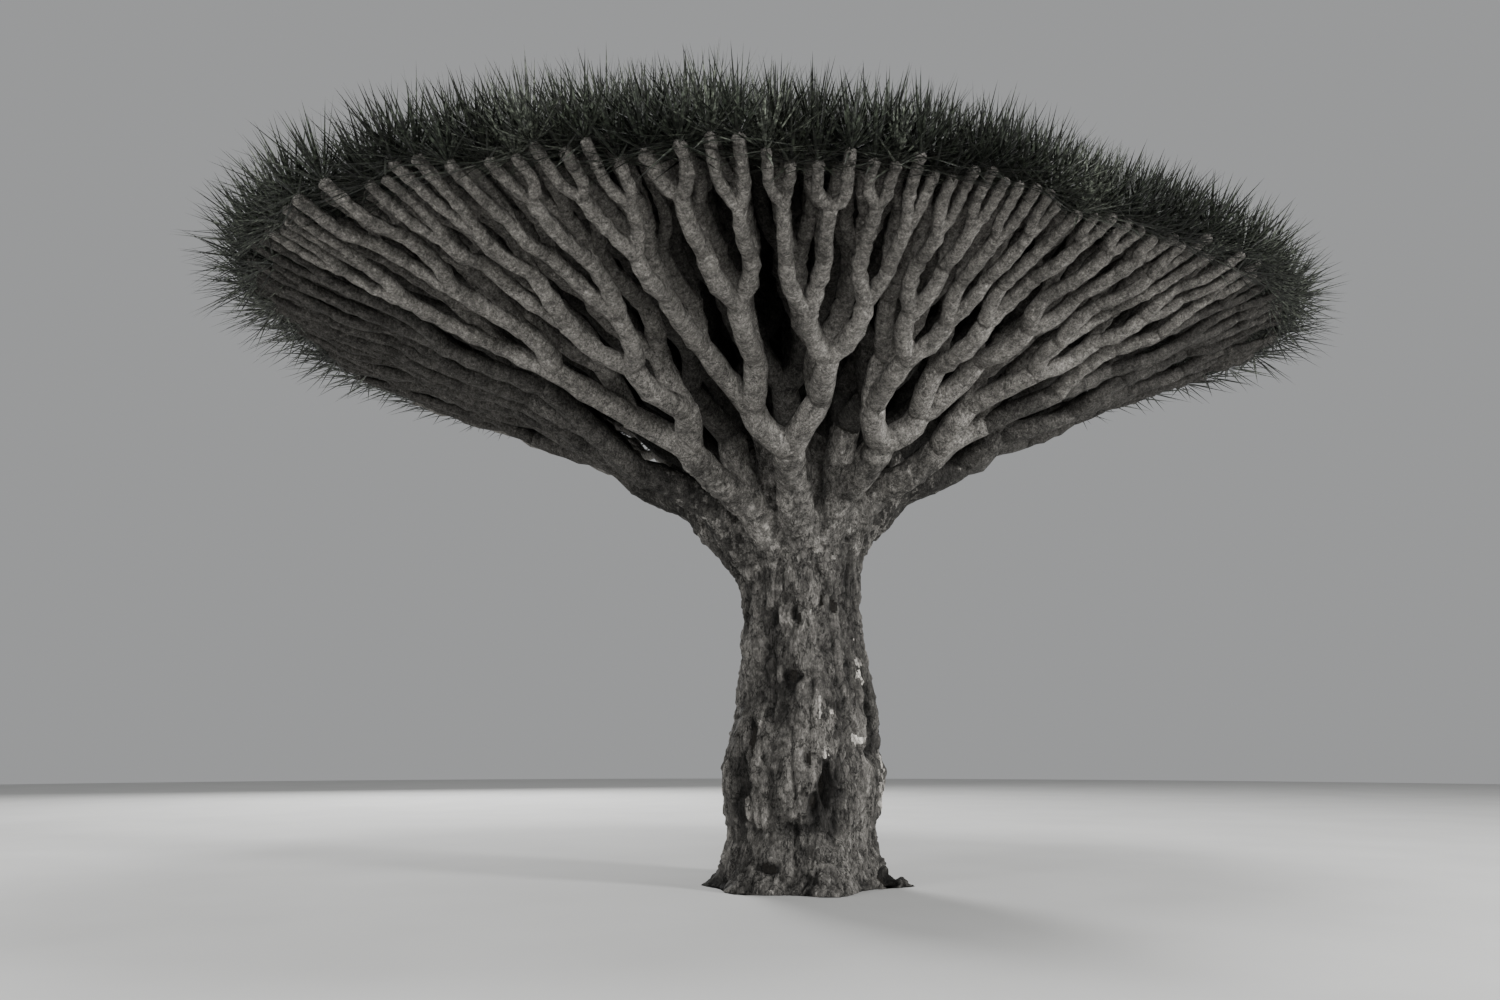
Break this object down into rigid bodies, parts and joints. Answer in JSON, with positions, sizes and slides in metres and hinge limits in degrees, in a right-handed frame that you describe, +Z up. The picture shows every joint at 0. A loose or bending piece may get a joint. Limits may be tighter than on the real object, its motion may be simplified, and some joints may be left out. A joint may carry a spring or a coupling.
{
  "type": "dragon blood tree",
  "caption": "Dragon blood tree: stout fluted trunk, boughs that fork again and again into a wide shallow dish of limbs, and a low umbrella crown of stiff leaf rosettes.",
  "frame": {"origin": "centre of the flat cut under the trunk, at ground level (the mount named ground)", "axes": "+Z up along the trunk; -Y towards the side that the picture was taken from; +X to the right in the picture"},
  "size_m": [10.4119, 10.6077, 7.2828],
  "materials": {
    "trunk_bark": "rough flaky bark",
    "bough_bark": "rough granular bark",
    "foliage": "semi-gloss leaf"
  },
  "bodies": {
    "root": {"trunk": "trunk_bark", "bough_28": "bough_bark", "bough_29": "bough_bark", "bough_30": "bough_bark", "bough_31": "bough_bark", "bough_32": "bough_bark", "bough_33": "bough_bark", "bough_34": "bough_bark", "bough_35": "bough_bark", "bough_36": "bough_bark", "bough_37": "bough_bark", "bough_38": "bough_bark", "bough_39": "bough_bark", "bough_40": "bough_bark", "bough_41": "bough_bark", "bough_42": "bough_bark", "bough_43": "bough_bark", "bough_44": "bough_bark", "bough_45": "bough_bark", "bough_46": "bough_bark", "bough_47": "bough_bark", "bough_48": "bough_bark", "bough_49": "bough_bark", "bough_50": "bough_bark", "bough_51": "bough_bark", "bough_52": "bough_bark", "bough_53": "bough_bark", "bough_54": "bough_bark", "bough_55": "bough_bark", "mass_28": "foliage", "mass_29": "foliage", "mass_30": "foliage", "mass_31": "foliage", "mass_32": "foliage", "mass_33": "foliage", "mass_34": "foliage", "mass_35": "foliage", "mass_36": "foliage", "mass_37": "foliage", "mass_38": "foliage", "mass_39": "foliage", "mass_40": "foliage", "mass_41": "foliage", "mass_42": "foliage", "mass_43": "foliage", "mass_44": "foliage", "mass_45": "foliage", "mass_46": "foliage", "mass_47": "foliage", "mass_48": "foliage", "mass_49": "foliage", "mass_50": "foliage", "mass_51": "foliage", "mass_52": "foliage", "mass_53": "foliage", "mass_54": "foliage", "mass_55": "foliage"}
  },
  "joints": []
}
